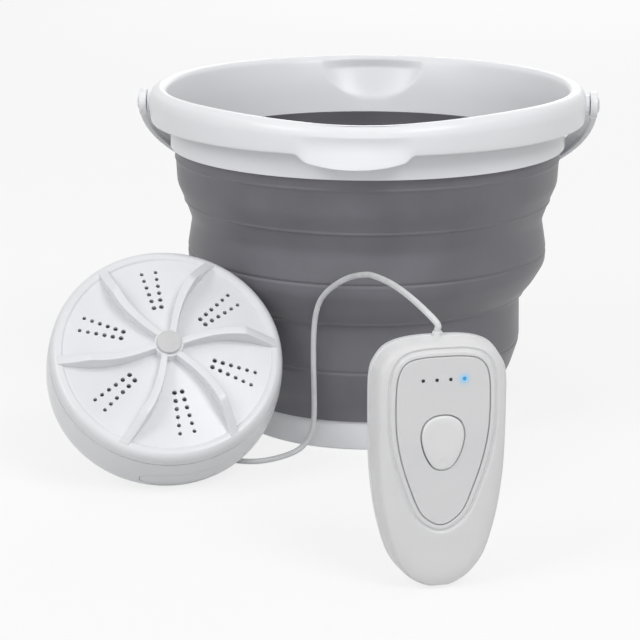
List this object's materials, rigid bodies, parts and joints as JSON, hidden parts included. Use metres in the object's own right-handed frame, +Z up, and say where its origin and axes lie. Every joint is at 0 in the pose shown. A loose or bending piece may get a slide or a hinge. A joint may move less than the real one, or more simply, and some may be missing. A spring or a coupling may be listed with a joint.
{
  "type": "mini turbine washer",
  "caption": "Folding bucket with a bail, a round washing turbine with curved blades leaning on its wall, and a cordless handset with a power button, wired to the turbine.",
  "frame": {"origin": "centre of the bucket's underside, on the floor", "axes": "+Z up, -Y towards the front, where the handset stands"},
  "size_m": [0.3259, 0.4357, 0.207],
  "materials": {
    "white_plastic": "glossy white moulded plastic",
    "pale_plastic": "satin pale grey moulded plastic",
    "cap_plastic": "satin grey moulded plastic",
    "folding_rubber": "satin dark grey folding rubber",
    "black_rubber": "matte black rubber",
    "cord_sheath": "satin pale grey cable sheath",
    "steel": "zinc-plated steel",
    "bronze": "sintered bronze bearing",
    "nylon": "natural nylon",
    "board_laminate": "green solder mask on glass laminate",
    "cell_wrap": "blue film round a flat cell",
    "lens_plastic": "clear light pipe"
  },
  "bodies": {
    "base": {"base_ring": "white_plastic", "bucket_floor": "folding_rubber", "lower_wall": "folding_rubber", "upper_wall": "folding_rubber", "turbine_housing": "white_plastic", "side_cover": "white_plastic", "motor_deck": "white_plastic", "deck_gasket": "black_rubber", "shaft_bearing": "bronze", "shaft_seal": "black_rubber", "deck_screw_1": "steel", "deck_screw_2": "steel", "deck_screw_3": "steel", "gear_plate": "pale_plastic", "lower_bearing": "bronze", "motor": "steel", "turbine_gland": "cord_sheath", "suction_foot_1": "black_rubber", "suction_foot_2": "black_rubber", "suction_foot_3": "black_rubber", "back_shell": "white_plastic", "front_shell": "pale_plastic", "face_panel": "pale_plastic", "lens_1": "lens_plastic", "lens_2": "lens_plastic", "lens_3": "lens_plastic", "lens_4": "lens_plastic", "circuit_board": "board_laminate", "battery": "cell_wrap", "tact_switch": "black_rubber", "charge_socket": "steel", "handset_screw_1": "steel", "handset_screw_2": "steel", "handset_screw_3": "steel", "handset_screw_4": "steel", "handset_gland": "cord_sheath", "cord": "cord_sheath"},
    "rim": {"rim": "white_plastic", "left_pivot_pin": "white_plastic", "right_pivot_pin": "white_plastic"},
    "bail": {"bail": "white_plastic"},
    "rotor": {"impeller": "white_plastic", "hub_cap": "cap_plastic", "impeller_shaft": "steel", "drive_gear": "nylon"},
    "pinion": {"pinion_gear": "nylon", "motor_shaft": "steel"},
    "button": {"power_button": "white_plastic"}
  },
  "joints": [
    {"name": "rim_fold", "type": "slide", "parent": "base", "child": "rim", "axis": [0, 0, 1], "range_m": [-0.05, 0], "deforming": ["upper_wall"]},
    {"name": "bail_swing", "type": "hinge", "parent": "rim", "child": "bail", "pos_m": [0, 0, 0.195], "axis": [0.9986, -0.0523, 0], "range_deg": [0, 214]},
    {"name": "rotor_spin", "type": "hinge", "parent": "base", "child": "rotor", "pos_m": [-0.115, -0.13268, 0.07535], "axis": [0.1418, -0.7295, 0.6691], "continuous": true},
    {"name": "pinion_spin", "type": "hinge", "parent": "base", "child": "pinion", "pos_m": [-0.09605, -0.129, 0.07535], "axis": [0.1418, -0.7295, 0.6691], "continuous": true},
    {"name": "button_press", "type": "slide", "parent": "base", "child": "button", "axis": [-0.2079, 0.9781, 0], "range_m": [0, 0.0012], "stiffness_N_per_m": 250}
  ],
  "couplings": [
    {"joint": "pinion_spin", "follows": "rotor_spin", "ratio": -3}
  ]
}
